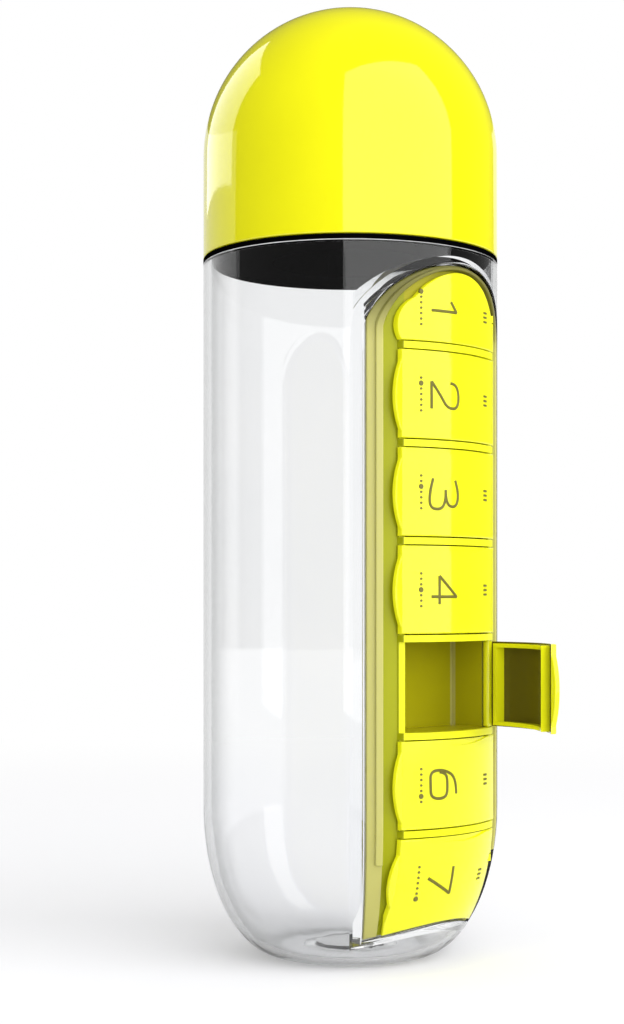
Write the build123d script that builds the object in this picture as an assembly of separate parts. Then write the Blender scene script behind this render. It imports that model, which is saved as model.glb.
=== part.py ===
from build123d import *
import os
from math import asin, hypot, sqrt, tan

os.makedirs("parts", exist_ok=True)

# A capsule-shaped drinking bottle with a seven-bay pill tray set into its side.
# The bottle stands on z = 0 with its axis on Z, and the tray faces -Y.
# The lids hinge at the +X side of the tray and have their thumb tabs at the -X side.

# Bottle body
bottle_radius = 37.5
bottle_wall = 2.0
shoulder_height = 175.4
shoulder_edge_radius = 0.4
rim_step_height = 0.5
rim_step_width = 0.9
base_flat_radius = 18.0
base_corner_height = 37.5
push_up_radius = 12.0
push_up_top_radius = 9.0
push_up_depth = 1.0

# Black collar that closes the bottle's top and carries the neck
collar_flange = 1.0
collar_step_gap = 0.1
collar_plate = 1.7
neck_bore_radius = 20.0
neck_wall = 2.0
neck_height = 12.8
neck_bead_width = 0.8
neck_bead_height = 1.4
neck_bead_lift = 0.8

# Screw lid, its gasket and the ring that grips the cup
lid_gap = 0.3
boss_height = 6.8
boss_wall = 1.8
boss_edge_radius = 0.6
cup_running_gap = 0.4
turret_radius = 27.0
turret_edge_radius = 1.5
skirt_wall = 2.0
skirt_clearance = 0.4
lid_roof = 2.2
flute_count = 18
flute_radius = 2.4
flute_depth = 0.9
gasket_thickness = 1.6
gasket_width = 4.6
gasket_clearance = 0.15
ring_height = 2.0
ring_width = 1.9
ring_cup_gap = 0.15
ring_groove_gap = 0.1

# Cup dome
cup_wall = 1.8
cup_straight = 25.7
cup_lip_radius = 0.5

# Tray window in the bottle
window_edge_radius = 0.4
window_half_width = 24.5
window_arch_rise = 19.2
window_head_land = 4.2
window_floor_height = 11.2
window_floor_radius = 55.0
rim_pocket_depth = 3.7
bay_pocket_distance = 19.9
tray_clearance = 0.3

# Pill tray
rim_thickness = 1.5
band_sink = 0.9
band_edge_radius = 0.4
bead_half_width = 22.4
bead_width = 1.5
bead_sink = 0.1
bead_edge_radius = 0.3
bead_foot_height = 27.0
bead_arch_shortfall = 0.5
ledge_sink = 1.9
ledge_arch_shortfall = 1.2
bay_half_width = 15.0
bay_wall = 1.6
tray_back = 1.2
divider_thickness = 1.65
lowest_divider_height = 34.2
top_divider_drop = 1.3
divider_sink = 0.15
bay_count = 7

# Day lids
lid_half_width = 17.0
lid_arch_rise = 17.0
lid_thickness = 1.3
lid_edge_radius = 0.3
lid_edge_gap = 0.3
lid_seat_gap = 0.3
foot_lid_half_width = 19.8
foot_lid_edge_radius = 0.36
plug_depth = 2.2
plug_wall = 1.0
plug_clearance = 0.4
plug_hinge_setback = 4.0
foot_plug_height = 18.0
tab_length = 17.0
tab_reach = 2.0
tab_drop = 0.4
tab_flare_angle = 25.0
top_tab_length = 10.3
top_tab_reach = 2.3
foot_tab_length = 13.0
foot_tab_height = 22.9
scoop_half_width = 12.0
scoop_height = 1.4
scoop_depth = 0.5

# Lid hinges
barrel_radius = 1.25
foot_hinge_inset = 1.95
barrel_end_gap = 0.3
trough_gap = 0.35
pin_radius = 0.8
pin_length = 0.5
pin_running_gap = 0.06
pin_hole_depth = 0.6
top_barrel_length = 7.0
foot_barrel_length = 6.2
ear_thickness = 1.7
ear_root_depth = 2.6

# How near an edge lies to the bottle's surface when it counts as on it
skin_tolerance = 0.02

# Pose of the lids at rest
open_lid_number = 5
open_lid_angle = 67.5

# Sizes that follow from those above
reach = 2 * bottle_radius
neck_radius = neck_bore_radius + neck_wall
rim_height = shoulder_height + rim_step_height
flange_top = shoulder_height + collar_flange
collar_top = rim_height + collar_plate
mouth_height = collar_top + neck_height
cup_floor = flange_top + lid_gap
cup_bore_radius = bottle_radius - cup_wall
boss_radius = cup_bore_radius - cup_running_gap
boss_floor = collar_top + lid_gap
boss_top = boss_floor + boss_height
gasket_top = mouth_height + gasket_thickness
turret_top = gasket_top + lid_roof
window_arch_centre = shoulder_height - window_head_land - window_arch_rise
rim_back_inset = rim_pocket_depth - tray_clearance
ledge_inset = rim_back_inset - rim_thickness
window_arch_top = window_arch_centre + window_arch_rise + window_edge_radius
tray_half_width = window_half_width - tray_clearance
tray_arch_rise = window_arch_rise - tray_clearance
ledge_half_width = bead_half_width - bead_width
bay_box_half_width = bay_half_width + bay_wall
tray_back_distance = bay_pocket_distance + tray_clearance
bay_back_distance = tray_back_distance + tray_back
wall_top_inset = lid_thickness + lid_seat_gap
hinge_x = lid_half_width - barrel_radius
top_divider_height = window_arch_centre - top_divider_drop
divider_pitch = (top_divider_height - lowest_divider_height) / (bay_count - 2)
dividers = [lowest_divider_height + row * divider_pitch for row in range(bay_count - 1)]


def capsule(inset, top=shoulder_height):
    """The bottle's outer form up to a height, drawn in by an inset."""
    outline = Polyline((0, top), (0, inset), (base_flat_radius, inset))
    outline += EllipticalCenterArc(
        (base_flat_radius, base_corner_height),
        bottle_radius - base_flat_radius - inset,
        base_corner_height - inset,
        270,
        arc_size=90,
    )
    outline += Polyline((bottle_radius - inset, base_corner_height), (bottle_radius - inset, top), (0, top))
    return revolve(Plane.XZ * make_face(outline), Axis.Z)


def ring_solid(inner, outer, low, high):
    """A plain ring about the bottle's axis."""
    return revolve(Plane.XZ * make_face(Polyline(
        (inner, low), (outer, low), (outer, high), (inner, high), close=True)), Axis.Z)


def sector(half_width):
    """A wedge about the axis, as wide as given where it meets the bottle's surface."""
    spread = reach * tan(asin(half_width / bottle_radius))
    outline = Polyline((0, 0), (-spread, -reach), (spread, -reach), close=True)
    return extrude(make_face(outline), shoulder_height)


def front_slab(half_width, rise, lift, depth):
    """A slab with an arched top and a crowned floor, from a depth out through the front."""
    crown = window_floor_height + lift
    side = crown - window_floor_radius + sqrt(window_floor_radius**2 - half_width**2)
    outline = ThreePointArc((-half_width, side), (0, crown), (half_width, side))
    outline += Line((half_width, side), (half_width, window_arch_centre))
    outline += EllipticalCenterArc((0, window_arch_centre), half_width, rise, 0, arc_size=180)
    outline += Line((-half_width, window_arch_centre), (-half_width, side))
    return extrude(Plane.XZ.offset(depth) * make_face(outline), reach)


def layer(low, high):
    """All that lies between two heights, on every side of the axis."""
    return extrude(Plane.XY.offset(low) * Rectangle(2 * reach, 2 * reach), high - low)


def window(half_width, rise, lift, inset, depth):
    """The shallow opening for the tray's rim, down to an inset from the bottle's surface."""
    return (sector(half_width) & front_slab(half_width, rise, lift, depth)) - capsule(inset)


def skin_radius(height, sink):
    """Distance of the bottle's surface from its axis at a height, drawn in by a sink."""
    drop = max(0.0, base_corner_height - height) / (base_corner_height - sink)
    corner_reach = bottle_radius - base_flat_radius - sink
    return base_flat_radius + corner_reach * sqrt(max(0.0, 1 - drop**2))


def skin_edges(solid, sink):
    """Edges of a solid that run along the bottle's surface, drawn in by a sink."""
    found = []
    for edge in solid.edges():
        spots = [edge @ share for share in (0.0, 0.25, 0.5, 0.75, 1.0)]
        gaps = [abs(hypot(spot.X, spot.Y) - skin_radius(spot.Z, sink)) for spot in spots]
        at_corner_seam = abs((edge @ 0.5).Z - base_corner_height) < skin_tolerance
        if max(gaps) < skin_tolerance and not at_corner_seam:
            found.append(edge)
    return found


def post(x, y, radius, low, high):
    """A round post on a vertical axis."""
    return extrude(Plane.XY.offset(low) * Pos(x, y) * Circle(radius), high - low)


def bay_floor(number):
    """Height of the divider face under a bay, counted from the top."""
    if number == bay_count:
        return 0.0
    return dividers[bay_count - 1 - number] + divider_thickness / 2


def bay_ceiling(number):
    """Height of the divider face over a bay, counted from the top."""
    if number == 1:
        return shoulder_height
    return dividers[bay_count - number] - divider_thickness / 2


def hinge_y(number):
    """Depth of a lid's hinge axis. The foot lid's lies deeper, under the rounded corner."""
    inset = foot_hinge_inset if number == bay_count else barrel_radius
    return -sqrt((bottle_radius - inset) ** 2 - hinge_x**2)


def barrel_span(number):
    """Lowest and highest point of a lid's hinge barrel."""
    low = bay_floor(number) + barrel_end_gap
    high = bay_ceiling(number) - barrel_end_gap
    if number == 1:
        high = low + top_barrel_length
    if number == bay_count:
        low = high - foot_barrel_length
    return low, high


def make_bottle_body():
    """Clear body with an open, stepped rim and the stepped pocket for the tray."""
    outside = capsule(0.0)
    rim_edge = outside.edges().filter_by(GeomType.CIRCLE).sort_by(Axis.Z)[-1]
    outside = fillet(rim_edge, shoulder_edge_radius)
    rim_pocket = window(
        window_half_width, window_arch_rise, 0.0, rim_pocket_depth, bay_pocket_distance)
    bay_pocket_half = bay_box_half_width + tray_clearance
    bay_pocket = front_slab(bay_pocket_half, bay_pocket_half, 0.0, bay_pocket_distance)
    inside = capsule(bottle_wall)
    inside -= window(
        window_half_width + bottle_wall,
        window_arch_rise + bottle_wall,
        -bottle_wall,
        rim_pocket_depth + bottle_wall,
        bay_pocket_distance - bottle_wall,
    )
    inside -= front_slab(
        bay_pocket_half + bottle_wall,
        bay_pocket_half + bottle_wall,
        -bottle_wall,
        bay_pocket_distance - bottle_wall,
    )
    push_up = Cone(
        push_up_radius, push_up_top_radius, push_up_depth, align=(Align.CENTER, Align.CENTER, Align.MIN))
    inside -= Pos(0, 0, bottle_wall) * push_up
    outside = outside - rim_pocket - bay_pocket
    window_edges = [edge for edge in skin_edges(outside, 0.0) if (edge @ 0.5).Z < window_arch_top]
    outside = fillet(window_edges, window_edge_radius)
    body = outside - inside - push_up
    return body + ring_solid(
        bottle_radius - bottle_wall, bottle_radius - rim_step_width, shoulder_height, rim_height)


def make_neck_collar():
    """Collar that caps the bottle's stepped rim, with the neck for the screw lid."""
    skirt_inner = bottle_radius - rim_step_width + collar_step_gap
    bead_floor = collar_top + neck_bead_lift
    bead_radius = neck_radius + neck_bead_width / 2
    outline = Polyline(
        (neck_bore_radius, rim_height), (skirt_inner, rim_height), (skirt_inner, shoulder_height),
        (bottle_radius, shoulder_height), (bottle_radius, flange_top), (boss_radius, flange_top),
        (boss_radius, collar_top), (neck_radius, collar_top), (neck_radius, bead_floor),
        (bead_radius, bead_floor), (bead_radius, bead_floor + neck_bead_height),
        (neck_radius, bead_floor + neck_bead_height), (neck_radius, mouth_height),
        (neck_bore_radius, mouth_height), close=True,
    )
    return revolve(Plane.XZ * make_face(outline), Axis.Z)


def make_screw_lid():
    """Lid with a boss that holds the cup and a fluted turret over the neck."""
    bore = neck_radius + neck_bead_width / 2 + skirt_clearance
    skirt = bore + skirt_wall
    boss_inner = boss_radius - boss_wall
    boss_roof = boss_top - boss_wall
    outline = Polyline(
        (0, gasket_top), (bore, gasket_top), (bore, boss_floor), (skirt, boss_floor),
        (skirt, boss_roof), (boss_inner, boss_roof), (boss_inner, boss_floor),
        (boss_radius, boss_floor), (boss_radius, boss_top), (turret_radius, boss_top),
        (turret_radius, turret_top), (0, turret_top), close=True,
    )
    lid = revolve(Plane.XZ * make_face(outline), Axis.Z)
    turret_edge = lid.edges().filter_by(GeomType.CIRCLE).sort_by(Axis.Z)[-1]
    lid = fillet(turret_edge, turret_edge_radius)
    boss_edge = lid.edges().filter_by(GeomType.CIRCLE).filter_by_position(
        Axis.Z, boss_top - lid_gap, boss_top + lid_gap).sort_by(lambda edge: edge.radius)[-1]
    lid = fillet(boss_edge, boss_edge_radius)
    flute_reach = turret_radius + flute_radius - flute_depth
    for turn in range(flute_count):
        place = Rot(0, 0, turn * 360 / flute_count) * Pos(flute_reach, 0, 0)
        lid -= place * post(0, 0, flute_radius, boss_top, turret_top)
    groove_floor = (boss_floor + boss_top - ring_height) / 2 - ring_groove_gap
    groove_inner = cup_bore_radius - ring_cup_gap - ring_width - ring_groove_gap
    groove_top = groove_floor + ring_height + 2 * ring_groove_gap
    rib = ring_solid(groove_inner - boss_wall, groove_inner, groove_floor, groove_top)
    return lid - ring_solid(groove_inner, reach, groove_floor, groove_top) + rib


def make_lid_gasket():
    """Flat ring between the bottle's mouth and the lid's ceiling."""
    outer = neck_radius - gasket_clearance
    return ring_solid(outer - gasket_width, outer, mouth_height, gasket_top)


def make_cup_grip_ring():
    """Soft ring in the boss's groove, which holds the cup."""
    low = (boss_floor + boss_top - ring_height) / 2
    outer = cup_bore_radius - ring_cup_gap
    ring = ring_solid(outer - ring_width, outer, low, low + ring_height)
    outer_edges = ring.edges().filter_by(GeomType.CIRCLE).sort_by(lambda edge: edge.radius)[-2:]
    return fillet(outer_edges, ring_height / 3)


def make_cup_dome():
    """Dome that covers the lid, and serves as the drinking cup when lifted off."""
    dome_centre = cup_floor + cup_straight
    outline = Polyline((cup_bore_radius, dome_centre), (cup_bore_radius, cup_floor))
    outline += Line((cup_bore_radius, cup_floor), (bottle_radius, cup_floor))
    outline += Line((bottle_radius, cup_floor), (bottle_radius, dome_centre))
    outline += CenterArc((0, dome_centre), bottle_radius, 0, 90)
    outline += Line((0, dome_centre + bottle_radius), (0, dome_centre + cup_bore_radius))
    outline += CenterArc((0, dome_centre), cup_bore_radius, 90, -90)
    cup = revolve(Plane.XZ * make_face(outline), Axis.Z)
    lip = cup.edges().filter_by(GeomType.CIRCLE).filter_by_position(
        Axis.Z, cup_floor - lid_gap, cup_floor + lid_gap)
    return fillet(lip, cup_lip_radius)


def make_tray_rim():
    """The tray's curved rim: an outer band, a rounded bead and the sunken ledge under the thumb tabs."""
    seat = (tray_clearance, rim_back_inset, tray_back_distance)
    band = window(tray_half_width, tray_arch_rise, *seat) & capsule(band_sink)
    band = fillet(skin_edges(band, band_sink), band_edge_radius)
    bead = window(bead_half_width, tray_arch_rise - bead_arch_shortfall, *seat) & capsule(bead_sink)
    bead = bead & layer(bead_foot_height, shoulder_height)
    ledge_rise = tray_arch_rise - ledge_arch_shortfall
    room = window(ledge_half_width, ledge_rise, tray_clearance, ledge_inset, tray_back_distance)
    bead -= room
    bead = fillet(skin_edges(bead, bead_sink), bead_edge_radius)
    return band - room + bead


def make_hinge_ear(number):
    """Ear on the ledge that holds a lid's free pin where no divider does."""
    low = ear_span(number)[0]
    barrel = post(hinge_x, hinge_y(number), barrel_radius, low, low + ear_thickness)
    root = Pos(hinge_x, hinge_y(number) + ear_root_depth / 2, low + ear_thickness / 2) * Box(
        2 * barrel_radius, ear_root_depth, ear_thickness)
    return barrel + (root - capsule(rim_back_inset))


def ear_span(number):
    """Lowest and highest point of the ear beside the first or the last lid's barrel."""
    low, high = barrel_span(number)
    if number == 1:
        return high + barrel_end_gap, high + barrel_end_gap + ear_thickness
    return low - barrel_end_gap - ear_thickness, low - barrel_end_gap


def make_pill_tray():
    """Tray with seven bays, curved dividers flush with the bottle and a trough along the hinges."""
    tray = make_tray_rim()
    box = front_slab(bay_box_half_width, bay_box_half_width, tray_clearance, tray_back_distance)
    tray += box & capsule(wall_top_inset)
    room = front_slab(bay_half_width, bay_half_width, tray_clearance + tray_back, bay_back_distance)
    tray -= room
    plates = box & capsule(divider_sink)
    for height in dividers:
        tray += plates & layer(height - divider_thickness / 2, height + divider_thickness / 2)
    for number in range(1, bay_count + 1):
        low, high = barrel_span(number)
        swing = foot_hinge_inset if number == bay_count else barrel_radius
        tray -= post(
            hinge_x, hinge_y(number), swing + trough_gap, low - barrel_end_gap, high + barrel_end_gap)
    for number in (1, bay_count):
        tray += make_hinge_ear(number)
    hole = pin_radius + pin_running_gap
    for number in range(1, bay_count + 1):
        low, high = barrel_span(number)
        deep = barrel_end_gap + pin_hole_depth
        tray -= post(hinge_x, hinge_y(number), hole, low - deep, high + deep)
    return tray


def turned(solid, x, y, angle):
    """A solid turned about a vertical axis. A positive angle swings its -X side outwards."""
    axis = Pos(x, y, 0)
    return axis * Rot(0, 0, angle) * axis.inverse() * solid


def edge_radius(number):
    """Radius of a lid's rounded edge. The foot lid's is larger, for its slanted corners."""
    return foot_lid_edge_radius if number == bay_count else lid_edge_radius


def make_thumb_tab(number, low, high):
    """Bulge on the lid's free edge that a thumb lifts. All but the top lid's flare away from the bottle."""
    shell = capsule(0.0) - capsule(lid_thickness)
    if number == 1:
        foot = (-lid_half_width, low)
        head_z = low + top_tab_length
        rise = (head_z - window_arch_centre) / lid_arch_rise
        head = (-lid_half_width * sqrt(1 - rise**2), head_z)
        outline = SagittaArc(foot, head, top_tab_reach) + Line(head, foot)
        return extrude(Plane.XZ * make_face(outline), reach) & shell
    length = foot_tab_length if number == bay_count else tab_length
    centre = foot_tab_height if number == bay_count else (low + high) / 2 - tab_drop
    foot = (-lid_half_width, centre - length / 2)
    head = (-lid_half_width, centre + length / 2)
    outline = SagittaArc(foot, head, tab_reach) + Line(head, foot)
    edge_depth = sqrt(skin_radius(centre, 0.0) ** 2 - lid_half_width**2)
    shell = turned(shell, -lid_half_width, -edge_depth, tab_flare_angle)
    tab = extrude(Plane.XZ * make_face(outline), reach) & shell
    rim = tab.faces().sort_by(Axis.X)[0]
    return fillet(rim.edges().sort_by(SortBy.LENGTH)[-2:], edge_radius(number))


def plug_block(low, high, inset):
    """A block that fits a bay's mouth between two heights, drawn in by an inset."""
    half_width = bay_half_width - plug_clearance - inset
    block = front_slab(half_width, half_width, 2 * tray_clearance, bay_back_distance)
    hinge_edge = hinge_x - plug_hinge_setback - inset
    block -= Pos(hinge_edge, 0, 0) * Box(
        reach, 2 * reach, 2 * shoulder_height, align=(Align.MIN, Align.CENTER, Align.CENTER))
    return block & layer(low + inset, high - inset)


def make_day_lid(number):
    """One lid, closed: a curved plate with a thumb tab, a sealing plug, a scoop and a hinge barrel."""
    low = bay_floor(number) + lid_edge_gap
    high = bay_ceiling(number) - lid_edge_gap
    panel = front_slab(lid_half_width, lid_arch_rise, 2 * tray_clearance, bay_pocket_distance)
    panel = panel & layer(low, high)
    if number == bay_count:
        panel = panel & sector(foot_lid_half_width)
    hinge_reach = hinge_x / -hinge_y(number) * reach
    panel = panel & extrude(make_face(Polyline(
        (0, 0), (hinge_reach, -reach), (-reach, -reach), (-reach, 0), close=True)), shoulder_height)
    lid = (panel & capsule(0.0)) - capsule(lid_thickness)
    tab = make_thumb_tab(number, low, high)
    if number == 1:
        lid = fillet(skin_edges(lid + tab, 0.0), edge_radius(number))
    else:
        lid = fillet(skin_edges(lid, 0.0), edge_radius(number)) + tab
    scoop_radius = (scoop_half_width**2 + scoop_height**2) / (2 * scoop_height)
    if number > 1:
        scoop = Plane.XZ * Pos(0, high - scoop_height + scoop_radius) * Circle(scoop_radius)
        lid -= extrude(scoop, reach) - capsule(scoop_depth)
    plug_low = foot_plug_height if number == bay_count else low + plug_clearance
    plug_high = high - plug_clearance
    plug = plug_block(plug_low, plug_high, 0.0) - plug_block(plug_low, plug_high, plug_wall)
    lid += (plug & capsule(lid_thickness / 2)) - capsule(lid_thickness + plug_depth)
    if number in (1, bay_count):
        ear_low, ear_high = ear_span(number)
        lid -= post(
            hinge_x, hinge_y(number), barrel_radius + trough_gap, ear_low - lid_edge_gap, ear_high + lid_edge_gap)
    barrel_low, barrel_high = barrel_span(number)
    lid += post(hinge_x, hinge_y(number), barrel_radius, barrel_low, barrel_high)
    lid += post(
        hinge_x,
        hinge_y(number),
        pin_radius,
        barrel_low - barrel_end_gap - pin_length,
        barrel_high + barrel_end_gap + pin_length,
    )
    return lid


def swing_lid(lid, number, angle):
    """Turn a lid about its own hinge, outwards for a positive angle."""
    return turned(lid, hinge_x, hinge_y(number), angle)


pieces = {
    "bottle_body": make_bottle_body(),
    "neck_collar": make_neck_collar(),
    "screw_lid": make_screw_lid(),
    "lid_gasket": make_lid_gasket(),
    "cup_grip_ring": make_cup_grip_ring(),
    "cup_dome": make_cup_dome(),
    "pill_tray": make_pill_tray(),
}
for number in range(1, bay_count + 1):
    day_lid = make_day_lid(number)
    if number == open_lid_number:
        day_lid = swing_lid(day_lid, number, open_lid_angle)
    pieces[f"day_lid_{number}"] = day_lid

for name, piece in pieces.items():
    export_step(piece, f"parts/{name}.step")
    print(f"{name}: {len(piece.solids())} solid, {piece.volume / 1000:.2f} cm3")
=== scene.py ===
"""Looks of a capsule-shaped drinking bottle with a seven-bay pill tray in its side.

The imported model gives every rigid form. This script dresses it, spins the dome's
finished shell, adds the neck thread and the lids' raised marks, and sets up the
camera and a plain studio. Lengths are in metres.
"""

import logging
import math
from dataclasses import dataclass, replace
from enum import Enum
from functools import reduce

import bmesh
import bpy
from mathutils import Matrix, Vector


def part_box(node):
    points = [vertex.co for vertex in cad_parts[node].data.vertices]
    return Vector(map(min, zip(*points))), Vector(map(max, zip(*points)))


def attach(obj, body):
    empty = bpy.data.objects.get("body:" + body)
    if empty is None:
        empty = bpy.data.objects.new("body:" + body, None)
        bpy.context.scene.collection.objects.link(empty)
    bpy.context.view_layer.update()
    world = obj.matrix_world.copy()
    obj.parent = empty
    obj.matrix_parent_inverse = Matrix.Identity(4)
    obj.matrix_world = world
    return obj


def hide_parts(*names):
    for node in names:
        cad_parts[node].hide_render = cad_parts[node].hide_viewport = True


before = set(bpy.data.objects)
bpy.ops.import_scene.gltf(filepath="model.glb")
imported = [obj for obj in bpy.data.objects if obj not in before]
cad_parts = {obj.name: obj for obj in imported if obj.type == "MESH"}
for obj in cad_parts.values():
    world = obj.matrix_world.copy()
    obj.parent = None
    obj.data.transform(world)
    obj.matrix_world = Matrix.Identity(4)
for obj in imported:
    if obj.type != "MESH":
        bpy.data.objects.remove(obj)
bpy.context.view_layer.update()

log = logging.getLogger("bottle")

MM = 0.001
BOTTLE_RADIUS = 37.5 * MM
BASE_FLAT_RADIUS = 18.0 * MM
ARCH_CENTRE = 152.0 * MM
HINGE = Vector((15.75, -32.65, 0.0)) * MM
LID_PLATE = 1.3 * MM
MERGE_DISTANCE = 0.001 * MM
IMAGE_WIDTH = 624
IMAGE_HEIGHT = 1024


class Slot(Enum):
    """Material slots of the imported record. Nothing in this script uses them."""

    BLACK = "black_plastic"
    CUP = "yellow_cup"
    LID = "yellow_lid"


def linear(code: str) -> tuple[float, float, float, float]:
    """Turn an sRGB hex colour into linear RGBA.

    Args:
        code: The colour as #RRGGBB.

    Returns:
        Red, green, blue and an alpha of 1, in linear light.
    """
    parts = [int(code[place : place + 2], 16) / 255 for place in (1, 3, 5)]
    red, green, blue = (
        part / 12.92 if part <= 0.04045 else ((part + 0.055) / 1.055) ** 2.4 for part in parts
    )
    return red, green, blue, 1.0


def add_node(
    tree: bpy.types.NodeTree, kind: str, sockets: dict | None = None, **settings
) -> bpy.types.Node:
    """Add a node, choose its options and fill its sockets.

    Args:
        tree: The node tree that gets the node.
        kind: Blender's name of the node type.
        sockets: Input name or index, with the value or the output socket that feeds it.
        settings: Options of the node.

    Returns:
        The new node.
    """
    node = tree.nodes.new(kind)
    for option, value in settings.items():
        setattr(node, option, value)
    for socket, value in (sockets or {}).items():
        if isinstance(value, bpy.types.NodeSocket):
            tree.links.new(value, node.inputs[socket])
        else:
            node.inputs[socket].default_value = value
    return node


def add_math(
    tree: bpy.types.NodeTree, operation: str, *values: float | bpy.types.NodeSocket
) -> bpy.types.NodeSocket:
    """Add a math node and fill its inputs in order.

    Args:
        tree: The node tree that gets the node.
        operation: Blender's name of the operation.
        values: Numbers, or the output sockets that feed the inputs.

    Returns:
        The node's result.
    """
    sockets = dict(enumerate(values))
    return add_node(tree, "ShaderNodeMath", sockets, operation=operation).outputs[0]


def add_mix(
    tree: bpy.types.NodeTree,
    share: bpy.types.NodeSocket,
    under: bpy.types.NodeSocket | tuple[float, float, float, float],
    over: tuple[float, float, float, float],
) -> bpy.types.NodeSocket:
    """Lay one colour over another.

    Args:
        tree: The node tree that gets the node.
        share: Where the upper colour shows, from 0 to 1.
        under: The lower colour.
        over: The upper colour.

    Returns:
        The mixed colour.
    """
    sockets = {"Factor": share, "A": under, "B": over}
    return add_node(tree, "ShaderNodeMix", sockets, data_type="RGBA").outputs[2]


def new_tree(material: bpy.types.Material) -> bpy.types.NodeTree:
    """Give a material an empty node tree.

    Args:
        material: The material.

    Returns:
        Its node tree.
    """
    material.use_nodes = True
    material.node_tree.nodes.clear()
    return material.node_tree


class Place:
    """Where a surface point lies on the bottle, as sockets of one node tree.

    Attributes:
        tree: The node tree that holds the nodes.
        point: The point itself, with its lid closed.
        across: Its distance from the bottle's front middle plane.
        depth: Its distance behind the bottle's axis, negative towards the tray.
        height: Its height.
        radius: Its distance from the bottle's axis.
    """

    def __init__(self, tree: bpy.types.NodeTree, opened: float = 0.0) -> None:
        """Add the nodes.

        Args:
            tree: The node tree.
            opened: How far the point's lid stands open, in degrees.
        """
        self.tree = tree
        back = Matrix.Rotation(math.radians(-opened), 3, "Z")
        self.point = add_node(
            tree,
            "ShaderNodeMapping",
            {
                "Vector": add_node(tree, "ShaderNodeTexCoord").outputs["Object"],
                "Location": HINGE - back @ HINGE,
                "Rotation": (0.0, 0.0, math.radians(-opened)),
            },
        ).outputs[0]
        parts = add_node(tree, "ShaderNodeSeparateXYZ", {0: self.point}).outputs
        self.depth = parts["Y"]
        self.height = parts["Z"]
        self.across = add_math(tree, "ABSOLUTE", parts["X"])
        flat = add_node(tree, "ShaderNodeCombineXYZ", {0: parts["X"], 1: parts["Y"]})
        self.radius = add_node(
            tree, "ShaderNodeVectorMath", {0: flat.outputs[0]}, operation="LENGTH"
        ).outputs["Value"]

    def between(
        self, value: bpy.types.NodeSocket, low: float, high: float
    ) -> bpy.types.NodeSocket:
        """Tell where a value lies between two limits.

        Args:
            value: The value.
            low: The lower limit.
            high: The upper limit.

        Returns:
            1 between the limits, 0 elsewhere.
        """
        return add_math(self.tree, "COMPARE", value, (low + high) / 2, (high - low) / 2)

    def both(
        self, first: bpy.types.NodeSocket, second: bpy.types.NodeSocket
    ) -> bpy.types.NodeSocket:
        """1 where two masks are both 1."""
        return add_math(self.tree, "MULTIPLY", first, second)

    def either(
        self, first: bpy.types.NodeSocket, second: bpy.types.NodeSocket
    ) -> bpy.types.NodeSocket:
        """1 where one of two masks is 1."""
        return add_math(self.tree, "MAXIMUM", first, second)


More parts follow.
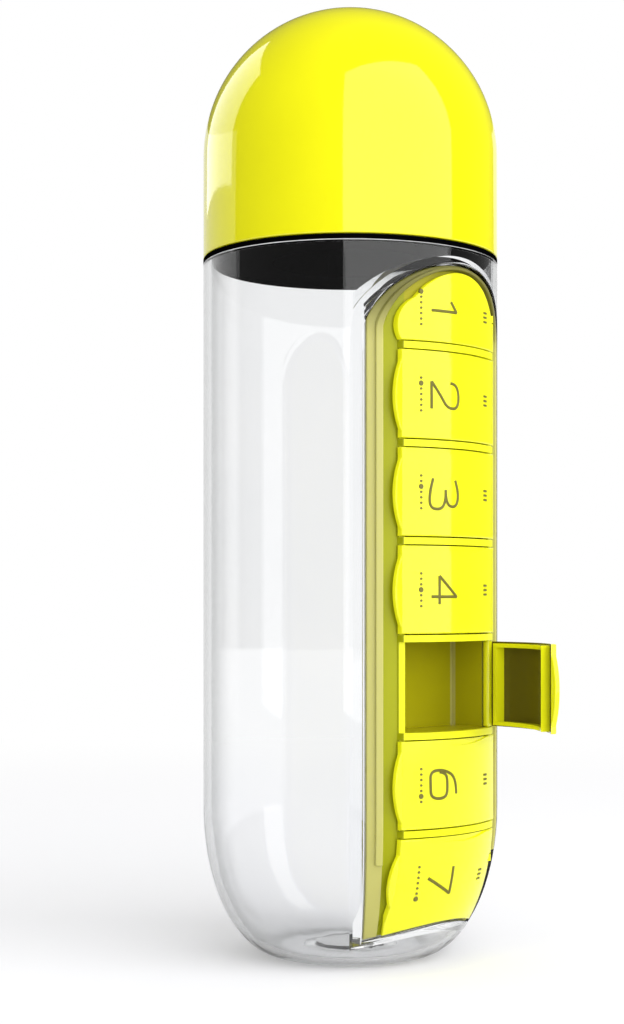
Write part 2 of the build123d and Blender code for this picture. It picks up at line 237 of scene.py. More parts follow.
class Zone(Enum):
    """Parts of a moulding that look unlike the rest: where its wall differs, and where shade is
    painted into its colour.
    """

    TRAY_RIM = "tray rim"
    # Painted shadow and dark reflection of the collar on the rim at the arch.
    ARCH_RIM_SHADOW = "tray rim at the arch"
    TRAY_MOUTH = "tray mouth"
    # Painted shade in the bays.
    BAY_INSIDE_SHADE = "bay inside"
    # Painted shade on the lids' inner plates.
    LID_INSIDE_SHADE = "lid inside"
    BAY_POCKET = "bay pocket"
    WINDOW_FRAME = "window frame"
    NECK = "neck and collar top"

    def mask(self, place: Place) -> bpy.types.NodeSocket:
        """Tell where the zone is.

        Args:
            place: The point on the bottle.

        Returns:
            1 in the zone, 0 elsewhere.
        """
        if self is Zone.TRAY_RIM:
            return self.rim_mask(place)
        if self is Zone.ARCH_RIM_SHADOW:
            return place.both(self.rim_mask(place), self.arch_shadow_mask(place))
        if self is Zone.LID_INSIDE_SHADE:
            return self.plate_shade_mask(place)
        mouth_floor = 35.85
        inner_front = (place.depth, -36.0, -17.8)
        shoulder = 176.0
        limits = {
            Zone.TRAY_MOUTH: ((place.across, 0.0, 16.35), (place.radius, mouth_floor, 40.0)),
            Zone.BAY_INSIDE_SHADE: ((place.across, 0.0, 15.02), (place.radius, 0.0, mouth_floor)),
            Zone.BAY_POCKET: (
                (place.across, 0.0, 19.0),
                (place.radius, 0.0, 33.75),
                inner_front,
                (place.height, 9.5, shoulder),
            ),
            Zone.WINDOW_FRAME: (
                (place.across, 0.0, 30.0),
                (place.radius, 0.0, 35.3),
                inner_front,
                (place.height, 37.5, shoulder),
            ),
            Zone.NECK: ((place.radius, 20.5, 37.3), (place.height, 176.2, 200.0)),
        }
        masks = [place.between(value, low * MM, high * MM) for value, low, high in limits[self]]
        return reduce(place.both, masks)

    def arch_shadow_mask(self, place: Place) -> bpy.types.NodeSocket:
        """Rise smoothly over the tray's arch, where the collar's painted shadow and dark
        reflection fall on the rim.

        Args:
            place: The point on the bottle.

        Returns:
            0 at the arch's foot, 1 near its top.
        """
        low = ARCH_CENTRE - 2 * MM
        high = ARCH_CENTRE + 11 * MM
        return add_node(
            place.tree,
            "ShaderNodeMapRange",
            {"Value": place.height, "From Min": low, "From Max": high},
            interpolation_type="SMOOTHSTEP",
        ).outputs["Result"]

    def plate_shade_mask(self, place: Place) -> bpy.types.NodeSocket:
        """Tell where the inner skin of a lid's plate is, also round the bottle's foot, which gets
        painted shade.

        Args:
            place: The point on the bottle.

        Returns:
            1 on the skin, 0 elsewhere.
        """
        half_width = 17.0 * MM
        skin_play = 0.07 * MM
        inner_radius = BOTTLE_RADIUS - LID_PLATE
        tree = place.tree
        drop = add_math(tree, "SUBTRACT", BOTTLE_RADIUS, place.height)
        drop = add_math(tree, "MAXIMUM", drop, 0.0)
        drop = add_math(tree, "DIVIDE", drop, inner_radius)
        drop = add_math(tree, "MULTIPLY_ADD", drop, drop, -1.0)
        reach = add_math(tree, "ABSOLUTE", drop)
        reach = add_math(tree, "SQRT", reach)
        rounding = inner_radius - BASE_FLAT_RADIUS
        skin = add_math(tree, "MULTIPLY_ADD", reach, rounding, BASE_FLAT_RADIUS)
        near = add_math(tree, "COMPARE", place.radius, skin, skin_play)
        return place.both(near, place.between(place.across, 0.0, half_width))

    def rim_mask(self, place: Place) -> bpy.types.NodeSocket:
        """Tell where the tray's band and bead are, outside the arched ledge.

        Args:
            place: The point on the bottle.

        Returns:
            1 on the band and the bead, 0 elsewhere.
        """
        half_width = 20.9 * MM
        rise = 17.7 * MM
        ledge_share = 0.995
        tree = place.tree
        over = add_math(tree, "SUBTRACT", place.height, ARCH_CENTRE)
        over = add_math(tree, "MAXIMUM", over, 0.0)
        over = add_math(tree, "DIVIDE", over, rise)
        side = add_math(tree, "DIVIDE", place.across, half_width)
        arch = add_node(tree, "ShaderNodeCombineXYZ", {0: side, 1: over}).outputs[0]
        arch = add_node(
            tree, "ShaderNodeVectorMath", {0: arch}, operation="LENGTH"
        ).outputs["Value"]
        wedge = add_math(tree, "DIVIDE", place.across, place.radius)
        wedge = add_math(tree, "MULTIPLY", wedge, BOTTLE_RADIUS / half_width)
        share = add_math(tree, "MAXIMUM", arch, wedge)
        return add_math(tree, "GREATER_THAN", share, ledge_share)


@dataclass(frozen=True)
class Plastic:
    """A moulded plastic whose tint and gloss wander a little, with a fine skin texture.

    Attributes:
        name: The material's name.
        colour: The plastic's own colour.
        shade: The colour where the tint is deepest.
        roughness: The roughness of the moulded skin.
        ior: The plastic's refractive index.
        transmission: Share of the light that passes through.
        glow: Share of the light that scatters under the skin.
        glow_depth: How far that light travels, in metres.
        tint_grain: Size of the tint's clouds, in metres.
        skin_grain: Size of the skin's ripples, in metres.
        skin_height: Depth of the skin's ripples, in metres.
        specular: Principled specular level.
        edge_shade_colour: Painted shade of the plastic where its face turns edge-on, if any.
        zones: Zones with colours of their own, painted shade among them, later ones on top.
        other_zones: Zones whose gloss differs.
        other_gloss: The shader's own settings there.
        opened: How far the lid that wears it stands open, in degrees.
    """

    name: str
    colour: str
    shade: str
    roughness: float
    ior: float = 1.5
    transmission: float = 0.0
    glow: float = 0.0
    glow_depth: float = 1.0 * MM
    tint_grain: float = 14.0 * MM
    skin_grain: float = 1.4 * MM
    skin_height: float = 0.004 * MM
    specular: float = 0.5
    edge_shade_colour: str = ""
    zones: tuple[tuple[Zone, str], ...] = ()
    other_zones: tuple[Zone, ...] = ()
    other_gloss: tuple[tuple[str, float], ...] = ()
    opened: float = 0.0

    def build(self) -> bpy.types.Material:
        """Make the material.

        Returns:
            The node material.
        """
        wander = 0.2
        material = bpy.data.materials.new(self.name)
        tree = new_tree(material)
        place = Place(tree, self.opened)
        cloud = add_node(
            tree,
            "ShaderNodeTexNoise",
            {"Vector": place.point, "Scale": 1 / self.tint_grain, "Detail": 3.0, "Roughness": 0.5},
        ).outputs["Fac"]
        tint = add_mix(tree, cloud, linear(self.shade), linear(self.colour))
        for zone, colour in self.zones:
            tint = add_mix(tree, zone.mask(place), tint, linear(colour))
        # Painted shade: the colour turns grey where the face turns edge-on.
        if self.edge_shade_colour:
            facing = add_node(tree, "ShaderNodeLayerWeight", {"Blend": 0.5}).outputs["Facing"]
            turned = add_node(
                tree,
                "ShaderNodeMapRange",
                {"Value": facing, "From Min": 0.4, "From Max": 0.9},
                interpolation_type="SMOOTHSTEP",
            ).outputs["Result"]
            tint = add_mix(tree, turned, tint, linear(self.edge_shade_colour))
        gloss = add_node(
            tree,
            "ShaderNodeMapRange",
            {
                "Value": cloud,
                "To Min": self.roughness * (1 - wander),
                "To Max": self.roughness * (1 + wander),
            },
        ).outputs["Result"]
        ripple = add_node(
            tree,
            "ShaderNodeTexNoise",
            {"Vector": place.point, "Scale": 1 / self.skin_grain, "Detail": 2.0},
        ).outputs["Fac"]
        skin = add_node(
            tree,
            "ShaderNodeBump",
            {"Height": ripple, "Distance": self.skin_height, "Strength": 1.0},
        ).outputs["Normal"]
        settings = {
            "Base Color": tint,
            "Roughness": gloss,
            "Normal": skin,
            "IOR": self.ior,
            "Transmission Weight": self.transmission,
            "Subsurface Weight": self.glow,
            "Subsurface Radius": (1.0, 1.0, 0.3),
            "Subsurface Scale": self.glow_depth,
            "Specular IOR Level": self.specular,
        }
        shader = add_node(tree, "ShaderNodeBsdfPrincipled", settings).outputs["BSDF"]
        if self.other_zones:
            masks = [zone.mask(place) for zone in self.other_zones]
            settings.update(self.other_gloss)
            other = add_node(tree, "ShaderNodeBsdfPrincipled", settings).outputs["BSDF"]
            shader = add_node(
                tree,
                "ShaderNodeMixShader",
                {0: reduce(place.either, masks), 1: shader, 2: other},
            ).outputs[0]
        add_node(tree, "ShaderNodeOutputMaterial", {"Surface": shader})
        return material


# Clear styrene, injection moulded and polished: water-clear, with painted grey shade where the
# wall turns edge-on. Where two of its skins lie close together they hardly bend light.
CLEAR_STYRENE = Plastic(
    "moulded_clear_styrene",
    "#FFFFFF",
    "#F9FAFB",
    roughness=0.015,
    ior=1.42,
    transmission=1.0,
    tint_grain=40 * MM,
    skin_grain=18 * MM,
    skin_height=0.006 * MM,
    edge_shade_colour="#9FA1A1",
    other_zones=(Zone.BAY_POCKET, Zone.WINDOW_FRAME),
    other_gloss=(("IOR", 1.1),),
)

# ABS from a polished mould: an opaque, even yellow under a hard gloss.
GLOSS_ABS = Plastic(
    "polished_yellow_abs",
    "#F0EC0C",
    "#EAE60A",
    roughness=0.06,
    ior=1.54,
)

# Black ABS from a polished mould: near-black with clean reflections.
BLACK_ABS = Plastic(
    "polished_black_abs",
    "#050506",
    "#030303",
    roughness=0.12,
)

# The collar is black ABS with an unpolished underside, which stays black in any light, and a
# polished top and neck.
SATIN_BLACK_ABS = Plastic(
    "unpolished_black_abs",
    "#050506",
    "#030303",
    roughness=0.45,
    specular=0.0,
    skin_grain=0.6 * MM,
    skin_height=0.01 * MM,
    other_zones=(Zone.NECK,),
    other_gloss=(("Specular IOR Level", 0.5), ("Roughness", 0.22)),
)

# Silicone rubber, compression moulded: soft, milky and dull.
SILICONE = Plastic(
    "moulded_clear_silicone",
    "#D9D9D1",
    "#CFCFC8",
    roughness=0.6,
    glow=0.4,
    glow_depth=1.5 * MM,
    skin_grain=0.5 * MM,
    skin_height=0.01 * MM,
)

# Polypropylene with a lemon tint, moulded thin: glossy, with light scattered under the skin.
# The plate inside the seal is painted deep olive: painted shade for a plate in shade that mirrors
# nothing bright.
LEMON_POLYPROPYLENE = Plastic(
    "moulded_lemon_polypropylene",
    "#F6F61E",
    "#F0F016",
    roughness=0.09,
    glow=0.25,
    glow_depth=1.2 * MM,
    zones=((Zone.LID_INSIDE_SHADE, "#5A5210"),),
)

# The tray is the same lemon polypropylene, satin and in thicker walls, with shade painted into its
# colour: its ledge, back and bays are painted olive as painted shade, and its rim is painted
# darker still where the arch lies under the black collar, as the collar's painted shadow and dark
# reflection. Its thin rim is pale and lets light through, and its mouth keeps the lids' lemon.
TRAY_POLYPROPYLENE = Plastic(
    "tray_polypropylene_painted_olive_shade",
    "#A9AD12",
    "#9DA00E",
    roughness=0.3,
    glow=0.25,
    glow_depth=1.5 * MM,
    specular=0.15,
    zones=(
        # Painted shade in the bays; the mouth's lemon is the tray's own colour.
        (Zone.BAY_INSIDE_SHADE, "#B4AE14"),
        (Zone.TRAY_MOUTH, "#F4F41E"),
        (Zone.TRAY_RIM, "#C2BE70"),
        # Painted shadow and dark reflection of the black collar on the rim at the arch.
        (Zone.ARCH_RIM_SHADOW, "#77743C"),
    ),
)

# The lids' raised marks, embossed in the lid's own plastic, painted dark olive: painted shade for
# the shadow along the embossed strokes, flat and dull on the glossy lid.
MARK_PAINTED_SHADE = Plastic(
    "raised_marks_painted_olive_shade",
    "#726B0E",
    "#665F0B",
    roughness=0.5,
    skin_grain=0.2 * MM,
    skin_height=0.004 * MM,
)


def dress(piece: bpy.types.Object, material: bpy.types.Material) -> None:
    """Give a piece one material."""
    piece.data.materials.clear()
    piece.data.materials.append(material)


def make_piece(form: bmesh.types.BMesh, name: str) -> bpy.types.Object:
    """Turn a bmesh into a smooth object at the origin.

    Args:
        form: The finished mesh, which is freed.
        name: The piece's name.

    Returns:
        The linked object.
    """
    mesh = bpy.data.meshes.new(name)
    form.to_mesh(mesh)
    form.free()
    piece = bpy.data.objects.new(name, mesh)
    bpy.context.scene.collection.objects.link(piece)
    mesh.shade_smooth()
    return piece


def spin_profile(points: list[tuple[float, float]], steps: int) -> bmesh.types.BMesh:
    """Spin a closed profile about the bottle's axis.

    Args:
        points: Radius and height of each point, in order round the section.
        steps: Number of steps of the full turn.

    Returns:
        The closed mesh, with its faces outwards.
    """
    form = bmesh.new()
    verts = [form.verts.new((radius, 0.0, height)) for radius, height in points]
    edges = [form.edges.new(pair) for pair in zip(verts, verts[1:] + verts[:1])]
    bmesh.ops.spin(
        form,
        geom=verts + edges,
        axis=(0, 0, 1),
        cent=(0, 0, 0),
        steps=steps,
        angle=math.tau,
        use_merge=True,
    )
    bmesh.ops.remove_doubles(form, verts=form.verts, dist=MERGE_DISTANCE)
    bmesh.ops.recalc_face_normals(form, faces=form.faces)
    return form


def arc_points(
    centre: tuple[float, float], radius: float, start: float, end: float, count: int
) -> list[tuple[float, float]]:
    """Points along an arc in a radius and height section.

    Args:
        centre: Radius and height of the arc's centre.
        radius: The arc's own radius.
        start: First angle in degrees, from the outward direction.
        end: Last angle in degrees.
        count: Number of points, both ends included.

    Returns:
        The points in order.
    """
    turns = [math.radians(start + (end - start) * step / (count - 1)) for step in range(count)]
    return [
        (centre[0] + radius * math.cos(turn), centre[1] + radius * math.sin(turn))
        for turn in turns
    ]


@dataclass
class CupDome:
    """The yellow dome that serves as the cup."""

    wall: float = 1.8 * MM
    lip_edge: float = 0.45 * MM
    lip_steps: int = 5
    arc_steps: int = 40
    turn_steps: int = 128

    def build(self) -> None:
        """Spin the shell with its rounded lip, and let it stand for the CAD dome."""
        low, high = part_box("cup_dome")
        radius = high.x
        centre = high.z - radius
        inner = radius - self.wall
        lip = self.lip_edge
        profile = arc_points((0.0, centre), radius, 90, 0, self.arc_steps)
        profile += arc_points((radius - lip, low.z + lip), lip, 0, -90, self.lip_steps)
        profile += arc_points((inner + lip, low.z + lip), lip, -90, -180, self.lip_steps)
        profile += arc_points((0.0, centre), inner, 0, 90, self.arc_steps)
        piece = make_piece(spin_profile(profile, self.turn_steps), "dome_shell")
        dress(piece, GLOSS_ABS.build())
        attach(piece, "cup")
        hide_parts("cup_dome")
        log.info("dome_shell: %d faces", len(piece.data.polygons))


@dataclass
class Bottle:
    """Clear body, the black collar that caps it, and the thread on the collar's neck."""

    neck_radius: float = 22.0 * MM
    thread_depth: float = 0.5 * MM
    thread_sink: float = 0.2 * MM
    thread_root: float = 2.2 * MM
    thread_crest: float = 0.8 * MM
    thread_start: float = 181.4 * MM
    thread_pitch: float = 3.2 * MM
    thread_turns: float = 1.9
    steps_per_turn: int = 64
    crease: float = 35.0

    def build(self) -> None:
        """Dress the CAD nodes and cut the thread's ridge."""
        dress(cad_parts["bottle_body"], CLEAR_STYRENE.build())
        dress(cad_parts["neck_collar"], SATIN_BLACK_ABS.build())
        form = bmesh.new()
        inner = self.neck_radius - self.thread_sink
        outer = self.neck_radius + self.thread_depth
        section = [
            (inner, -self.thread_root / 2),
            (outer, -self.thread_crest / 2),
            (outer, self.thread_crest / 2),
            (inner, self.thread_root / 2),
        ]
        verts = [form.verts.new((x, 0.0, self.thread_start + z)) for x, z in section]
        first = form.faces.new(verts)
        last = bmesh.ops.spin(
            form,
            geom=[first],
            axis=(0, 0, 1),
            cent=(0, 0, 0),
            dvec=(0.0, 0.0, self.thread_pitch / self.steps_per_turn),
            steps=round(self.thread_turns * self.steps_per_turn),
            angle=self.thread_turns * math.tau,
        )
        ends = verts + [part for part in last["geom_last"] if isinstance(part, bmesh.types.BMVert)]
        for vert in ends:
            way = Vector((vert.co.x, vert.co.y, 0.0)).normalized()
            vert.co = way * inner + Vector((0.0, 0.0, vert.co.z))
        bmesh.ops.recalc_face_normals(form, faces=form.faces)
        if form.calc_volume(signed=True) < 0:
            bmesh.ops.reverse_faces(form, faces=form.faces)
        ridge = make_piece(form, "neck_thread")
        ridge.data.set_sharp_from_angle(angle=math.radians(self.crease))
        dress(ridge, BLACK_ABS.build())
        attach(ridge, "bottle")
        log.info("bottle: body, collar and neck_thread with %d faces", len(ridge.data.polygons))


@dataclass
class ScrewCap:
    """Screw lid, its gasket and the soft ring that grips the dome."""

    def build(self) -> None:
        """Dress the CAD nodes."""
        silicone = SILICONE.build()
        dress(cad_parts["screw_lid"], BLACK_ABS.build())
        dress(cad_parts["lid_gasket"], silicone)
        dress(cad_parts["cup_grip_ring"], silicone)
        log.info("screw cap: lid, gasket and grip ring")


@dataclass
class PillTray:
    """The tray that snaps into the bottle's window."""

    def build(self) -> None:
        """Dress the CAD node."""
        dress(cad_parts["pill_tray"], TRAY_POLYPROPYLENE.build())
        log.info("pill tray")


Stroke = list[tuple[float, float]]

# Centre lines of plain numerals in a box of 1 by 1. A straight stroke has two points, and a
# longer one bends smoothly between its ends.
NUMERALS: dict[int, list[Stroke]] = {
    1: [[(0.2, 0.76), (0.55, 1.0)], [(0.55, 1.0), (0.55, 0.0)]],
    2: [
        [(0.06, 0.74), (0.06, 1.06), (0.92, 1.1), (0.95, 0.62), (0.5, 0.34), (0.04, 0.0)],
        [(0.04, 0.0), (0.98, 0.0)],
    ],
    3: [
        [(0.06, 0.94), (0.5, 1.1), (1.02, 0.98), (0.92, 0.54), (0.4, 0.54)],
        [(0.4, 0.54), (1.05, 0.56), (1.1, -0.06), (0.5, -0.08), (0.02, 0.06)],
    ],
    4: [[(0.74, 0.0), (0.74, 1.0)], [(0.74, 1.0), (0.02, 0.3)], [(0.02, 0.3), (1.0, 0.3)]],
    5: [
        [(0.9, 1.0), (0.2, 1.0)],
        [(0.2, 1.0), (0.12, 0.56)],
        [(0.12, 0.56), (0.55, 0.74), (1.08, 0.5), (0.98, -0.06), (0.5, -0.06), (0.04, 0.04)],
    ],
    6: [
        [(0.86, 0.98), (0.3, 0.98), (0.0, 0.5), (0.02, -0.04), (0.5, -0.04), (0.98, -0.02)]
        + [(1.0, 0.58), (0.5, 0.62), (0.1, 0.56), (0.07, 0.3)]
    ],
    7: [[(0.02, 1.0), (0.98, 1.0)], [(0.98, 1.0), (0.36, 0.0)]],
}


def smooth_line(stroke: Stroke, steps: int) -> Stroke:
    """Points of the smooth line that a stroke's control points pull.

    Args:
        stroke: The control points, with the line's own ends first and last.
        steps: Number of points for each bend.

    Returns:
        The line's points, both ends included.
    """
    corners = [Vector(point) for point in stroke]
    if len(corners) == 2:
        return [tuple(corners[0].lerp(corners[1], step / steps)) for step in range(steps + 1)]
    joins = [corners[0]]
    joins += [(first + second) / 2 for first, second in zip(corners[1:-2], corners[2:-1])]
    joins.append(corners[-1])
    points = [tuple(corners[0])]
    for start, corner, end in zip(joins, corners[1:-1], joins[1:]):
        for step in range(1, steps + 1):
            share = step / steps
            points.append(tuple(start.lerp(corner, share).lerp(corner.lerp(end, share), share)))
    return points


@dataclass
class DayLid:
    """A day's lid and its raised marks: a plain number, a row of dots and a row of bars."""

    number: int
    centre: float
    opened: float = 0.0
    numeral_size: tuple[float, float] = (6.9 * MM, 7.8 * MM)
    numeral_place: float = -9.7 * MM
    stroke_radius: float = 0.41 * MM
    stroke_sink: float = 0.14 * MM
    stroke_steps: int = 10
    dots_place: float = -12.6 * MM
    dot_radius: float = 0.36 * MM
    own_dot_radius: float = 0.72 * MM
    dot_taper: float = 0.75
    dot_steps: int = 20
    dot_pitch: float = 1.3 * MM
    dot_count: int = 7
    bars_place: float = 10.6 * MM
    bar_share: float = 0.8
    bar_length: float = 1.7 * MM
    bar_pitch: float = 1.1 * MM
    bar_count: int = 3
    crease: float = 50.0

    def on_skin(self, along: float, across: float, lift: float) -> Vector:
        """Place of a mark's point on the lid.

        Args:
            along: Distance down the bottle from the middle of the lid.
            across: Distance along the skin towards the hinge.
            lift: Height over the skin.

        Returns:
            The point, with the lid as open as it stands.
        """
        height = self.centre - along
        drop = max(0.0, BOTTLE_RADIUS - height) / BOTTLE_RADIUS
        radius = BASE_FLAT_RADIUS
        radius += (BOTTLE_RADIUS - BASE_FLAT_RADIUS) * math.sqrt(1 - drop**2) + lift
        turn = across / BOTTLE_RADIUS
        point = Vector((radius * math.sin(turn), -radius * math.cos(turn), height))
        return HINGE + Matrix.Rotation(math.radians(self.opened), 3, "Z") @ (point - HINGE)

    def add_bead(self, form: bmesh.types.BMesh, line: Stroke, radius: float) -> None:
        """Add a round bead that follows a line on the lid.

        Args:
            form: The mesh that gets the bead.
            line: Points along and across the lid.
            radius: The bead's radius.
        """
        curve = bpy.data.curves.new("bead", "CURVE")
        curve.dimensions = "3D"
        curve.bevel_depth = radius
        curve.bevel_resolution = 2
        curve.use_fill_caps = True
        spline = curve.splines.new("POLY")
        spline.points.add(len(line) - 1)
        for point, (along, across) in zip(spline.points, line):
            point.co = (*self.on_skin(along, across, -self.stroke_sink), 1.0)
        holder = bpy.data.objects.new("bead", curve)
        mesh = bpy.data.meshes.new_from_object(holder)
        form.from_mesh(mesh)
        bpy.data.objects.remove(holder)
        bpy.data.meshes.remove(mesh)

    def add_dot(self, form: bmesh.types.BMesh, along: float, radius: float) -> None:
        """Add a low round dot.

        Args:
            form: The mesh that gets the dot.
            along: Its place along the row.
            radius: Its radius.
        """
        out = self.on_skin(along, self.dots_place, 1.0) - self.on_skin(along, self.dots_place, 0.0)
        place = Matrix.Translation(self.on_skin(along, self.dots_place, 0.0))
        bmesh.ops.create_cone(
            form,
            cap_ends=True,
            segments=self.dot_steps,
            radius1=radius,
            radius2=radius * self.dot_taper,
            depth=self.stroke_radius,
            matrix=place @ out.to_track_quat("Z", "Y").to_matrix().to_4x4(),
        )

    def build(self, lemon: bpy.types.Material, mark_shade: bpy.types.Material) -> None:
        """Dress the lid and raise its marks.

        Args:
            lemon: The lid's own material.
            mark_shade: The marks' material.
        """
        dress(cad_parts[f"day_lid_{self.number}"], lemon)
        form = bmesh.new()
        width, height = self.numeral_size
        for stroke in NUMERALS[self.number]:
            line = [
                ((x - 0.5) * width, self.numeral_place + y * height)
                for x, y in smooth_line(stroke, self.stroke_steps)
            ]
            self.add_bead(form, line, self.stroke_radius)
        for step in range(self.dot_count):
            along = (step - (self.dot_count - 1) / 2) * self.dot_pitch
            own = step + 1 == self.number
            self.add_dot(form, along, self.own_dot_radius if own else self.dot_radius)
        for step in range(self.bar_count):
            along = (step - (self.bar_count - 1) / 2) * self.bar_pitch
            ends = (-self.bar_length / 2, 0.0, self.bar_length / 2)
            line = [(along, self.bars_place + end) for end in ends]
            self.add_bead(form, line, self.stroke_radius * self.bar_share)
        bmesh.ops.remove_doubles(form, verts=form.verts, dist=MERGE_DISTANCE)
        bmesh.ops.recalc_face_normals(form, faces=form.faces)
        marks = make_piece(form, f"lid_marks_{self.number}")
        marks.data.set_sharp_from_angle(angle=math.radians(self.crease))
        # The marks' dark olive is painted shade for the shadow along embossed strokes.
        dress(marks, mark_shade)
        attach(marks, f"lid_{self.number}")
        log.info("day lid %d: marks with %d faces", self.number, len(marks.data.polygons))


@dataclass
class LidRow:
    """The seven day lids, one of them open."""

    top_centre: float = 159.6 * MM
    foot_centre: float = 22.4 * MM
    lowest_divider: float = 34.2 * MM
    pitch: float = 23.3 * MM
    count: int = 7
    open_number: int = 5
    open_angle: float = 67.5

    def build(self) -> None:
        """Dress every lid and raise its marks."""
        mark_shade = MARK_PAINTED_SHADE.build()
        lemon = LEMON_POLYPROPYLENE.build()
        lemon_open = replace(
            LEMON_POLYPROPYLENE,
            name=f"{LEMON_POLYPROPYLENE.name}_open",
            opened=self.open_angle,
        ).build()
        for number in range(1, self.count + 1):
            centre = self.lowest_divider + (self.count - 0.5 - number) * self.pitch
            if number == 1:
                centre = self.top_centre
            if number == self.count:
                centre = self.foot_centre
            if number == self.open_number:
                DayLid(number, centre, self.open_angle).build(lemon_open, mark_shade)
            else:
                DayLid(number, centre).build(lemon, mark_shade)


@dataclass
class Studio:
    """Camera, floor, world and lamps of a plain white studio."""

    azimuth: float = -46.0
    distance: float = 480.0 * MM
    camera_height: float = 90.0 * MM
    focal_pixels: float = 1875.8
    axis_pixel: float = 350.3
    horizon_pixel: float = 600.0
    sensor: float = 36.0
    floor_radius: float = 8.0
    floor_steps: int = 64
    floor_near: float = 0.2
    floor_far: float = 0.75
    floor_lift: float = 0.26
    fill: float = 0.66
    wall_reach: float = 3.0
    wall_top: float = 400.0
    wall_glow: float = 0.15
    wall_steps: int = 48

    def direction(self, turn: float) -> Vector:
        """A level unit vector, turned to the right of the way to the camera, in degrees."""
        angle = math.radians(self.azimuth + turn)
        return Vector((math.sin(angle), -math.cos(angle), 0.0))

    def add_camera(self) -> None:
        """Set the camera where the photograph was taken."""
        data = bpy.data.cameras.new("camera")
        data.sensor_width = self.sensor
        data.lens = self.focal_pixels * self.sensor / IMAGE_HEIGHT
        data.shift_x = (IMAGE_WIDTH / 2 - self.axis_pixel) / IMAGE_HEIGHT
        data.shift_y = (self.horizon_pixel - IMAGE_HEIGHT / 2) / IMAGE_HEIGHT
        data.clip_start = 0.01
        data.clip_end = 50.0
        camera = bpy.data.objects.new("camera", data)
        bpy.context.scene.collection.objects.link(camera)
        camera.location = self.direction(0.0) * self.distance
        camera.location.z = self.camera_height
        camera.rotation_euler = (math.pi / 2, 0.0, math.radians(self.azimuth))
        bpy.context.scene.camera = camera

    def add_seen(self, tree: bpy.types.NodeTree) -> bpy.types.NodeSocket:
        """1 for rays from the camera, from gloss and through clear plastic.

        Args:
            tree: The node tree that gets the nodes.

        Returns:
            The mask.
        """
        path = add_node(tree, "ShaderNodeLightPath").outputs
        seen = add_math(tree, "MAXIMUM", path["Is Camera Ray"], path["Is Glossy Ray"])
        return add_math(tree, "MAXIMUM", seen, path["Is Transmission Ray"])

    def add_world(self) -> None:
        """White where it is seen, mirrored or looked through, and dimmer as a lamp."""
        world = bpy.data.worlds.new("studio_world")
        bpy.context.scene.world = world
        world.use_nodes = True
        tree = world.node_tree
        tree.nodes.clear()
        fill = add_node(
            tree, "ShaderNodeBackground", {"Color": linear("#FFFFFF"), "Strength": self.fill}
        )
        shown = add_node(
            tree, "ShaderNodeBackground", {"Color": linear("#FFFFFF"), "Strength": 1.0}
        )
        mix = add_node(
            tree,
            "ShaderNodeMixShader",
            {0: self.add_seen(tree), 1: fill.outputs[0], 2: shown.outputs[0]},
        )
        add_node(tree, "ShaderNodeOutputWorld", {"Surface": mix.outputs[0]})

    def add_floor(self) -> None:
        """A wide pale floor that keeps the object's shadow and turns white far off."""
        form = bmesh.new()
        bmesh.ops.create_circle(
            form, cap_ends=True, segments=self.floor_steps, radius=self.floor_radius
        )
        floor = make_piece(form, "floor")
        material = bpy.data.materials.new("studio_floor")
        tree = new_tree(material)
        place = add_node(tree, "ShaderNodeTexCoord").outputs["Object"]
        far = add_node(tree, "ShaderNodeVectorMath", {0: place}, operation="LENGTH")
        far = add_node(
            tree,
            "ShaderNodeMapRange",
            {
                "Value": far.outputs["Value"],
                "From Min": self.floor_near,
                "From Max": self.floor_far,
            },
            interpolation_type="SMOOTHSTEP",
        ).outputs["Result"]
        matte = add_node(tree, "ShaderNodeBsdfDiffuse", {"Color": linear("#E6E6E8")})
        lit = add_node(
            tree,
            "ShaderNodeEmission",
            {"Color": linear("#FFFFFF"), "Strength": self.floor_lift},
        )
        white = add_node(tree, "ShaderNodeEmission", {"Color": linear("#FFFFFF"), "Strength": 1.0})
        near = add_node(tree, "ShaderNodeAddShader", {0: matte.outputs[0], 1: lit.outputs[0]})
        shown = add_node(
            tree, "ShaderNodeMixShader", {0: far, 1: near.outputs[0], 2: white.outputs[0]}
        )
        mix = add_node(
            tree,
            "ShaderNodeMixShader",
            {0: self.add_seen(tree), 1: matte.outputs[0], 2: shown.outputs[0]},
        )
        add_node(tree, "ShaderNodeOutputMaterial", {"Surface": mix.outputs[0]})
        dress(floor, material)

    def add_panel(
        self,
        name: str,
        turn: float,
        reach: float,
        width: float,
        low: float,
        high: float,
        radiance: float,
        on_matte: bool = True,
    ) -> None:
        """Add an upright light panel that faces the bottle.

        Args:
            name: The lamp's name.
            turn: Where it stands, in degrees to the right of the camera.
            reach: Its distance from the bottle.
            width: Its width.
            low: Height of its lower edge.
            high: Height of its upper edge.
            radiance: Its brightness, where white paper is 1.
            on_matte: Whether it lights matte surfaces, or shows in gloss alone.
        """
        data = bpy.data.lights.new(name, "AREA")
        data.shape = "RECTANGLE"
        data.size = width
        data.size_y = high - low
        data.energy = radiance * math.pi * width * (high - low)
        lamp = bpy.data.objects.new(name, data)
        bpy.context.scene.collection.objects.link(lamp)
        lamp.location = self.direction(turn) * reach
        lamp.location.z = (low + high) / 2
        lamp.rotation_euler = (math.pi / 2, 0.0, math.radians(self.azimuth + turn))
        lamp.visible_camera = False
        lamp.visible_diffuse = on_matte

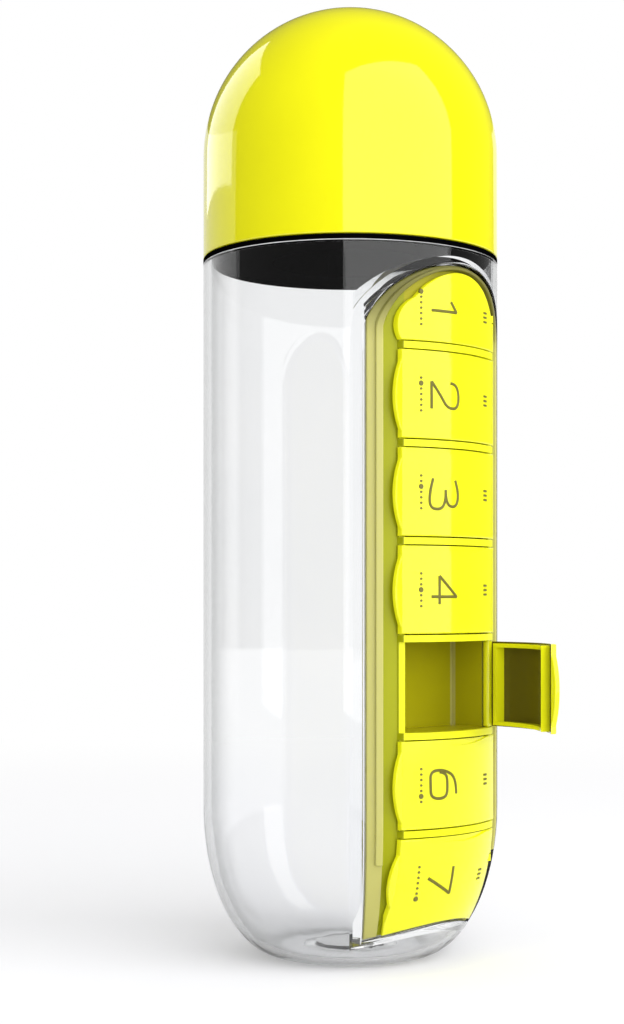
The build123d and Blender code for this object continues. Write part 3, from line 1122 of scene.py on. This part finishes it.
    def add_dark_wall(
        self, name: str, start: float, end: float, low_edge: float, in_clear: bool
    ) -> None:
        """Hang a dark curved wall round the studio, which only gloss mirrors.

        Args:
            name: The wall's name.
            start: Its first edge, in degrees to the right of the camera.
            end: Its last edge.
            low_edge: Height of its lower edge.
            in_clear: Whether it also shows inside clear plastic.
        """
        form = bmesh.new()
        low = form.verts.new(self.direction(start) * self.wall_reach + Vector((0, 0, low_edge)))
        high = form.verts.new(low.co + Vector((0, 0, self.wall_top)))
        edge = form.edges.new((low, high))
        bmesh.ops.spin(
            form,
            geom=[low, high, edge],
            axis=(0, 0, 1),
            cent=(0, 0, 0),
            steps=self.wall_steps,
            angle=math.radians(end - start),
        )
        wall = make_piece(form, name)
        material = bpy.data.materials.new("grey_cloth")
        tree = new_tree(material)
        cloth = add_node(
            tree,
            "ShaderNodeEmission",
            {"Color": linear("#FFFFFF"), "Strength": self.wall_glow},
        )
        add_node(tree, "ShaderNodeOutputMaterial", {"Surface": cloth.outputs[0]})
        dress(wall, material)
        wall.visible_camera = False
        wall.visible_diffuse = False
        wall.visible_shadow = False
        wall.visible_transmission = in_clear

    def build(self) -> None:
        """Set up the whole studio."""
        self.add_camera()
        self.add_world()
        self.add_floor()
        softbox = {"turn": 38.5, "reach": 0.8, "width": 1.54, "low": 0.0, "high": 1.75}
        self.add_panel("right_softbox", **softbox, radiance=1.85)
        self.add_panel("right_softbox_gloss", **softbox, radiance=1.65, on_matte=False)
        strip = {"turn": -125.0, "reach": 1.2, "width": 1.0, "low": 0.41, "high": 1.5}
        self.add_panel("left_strip", **strip, radiance=2.2, on_matte=False)
        self.add_dark_wall("front_wall", -98.0, 148.0, low_edge=-0.2, in_clear=True)
        self.add_dark_wall("back_wall", 148.0, 262.0, low_edge=1.1, in_clear=False)
        log.info("studio: camera, floor, world and lamps")


def build_scene() -> None:
    """Dress the CAD nodes, add the new pieces and set up the studio."""
    view = bpy.context.scene.view_settings
    view.view_transform = "Standard"
    Bottle().build()
    ScrewCap().build()
    CupDome().build()
    PillTray().build()
    LidRow().build()
    Studio().build()


def main() -> None:
    """Build everything."""
    logging.basicConfig(level=logging.INFO, format="%(name)s %(message)s")
    build_scene()


if __name__ == "__main__":
    main()
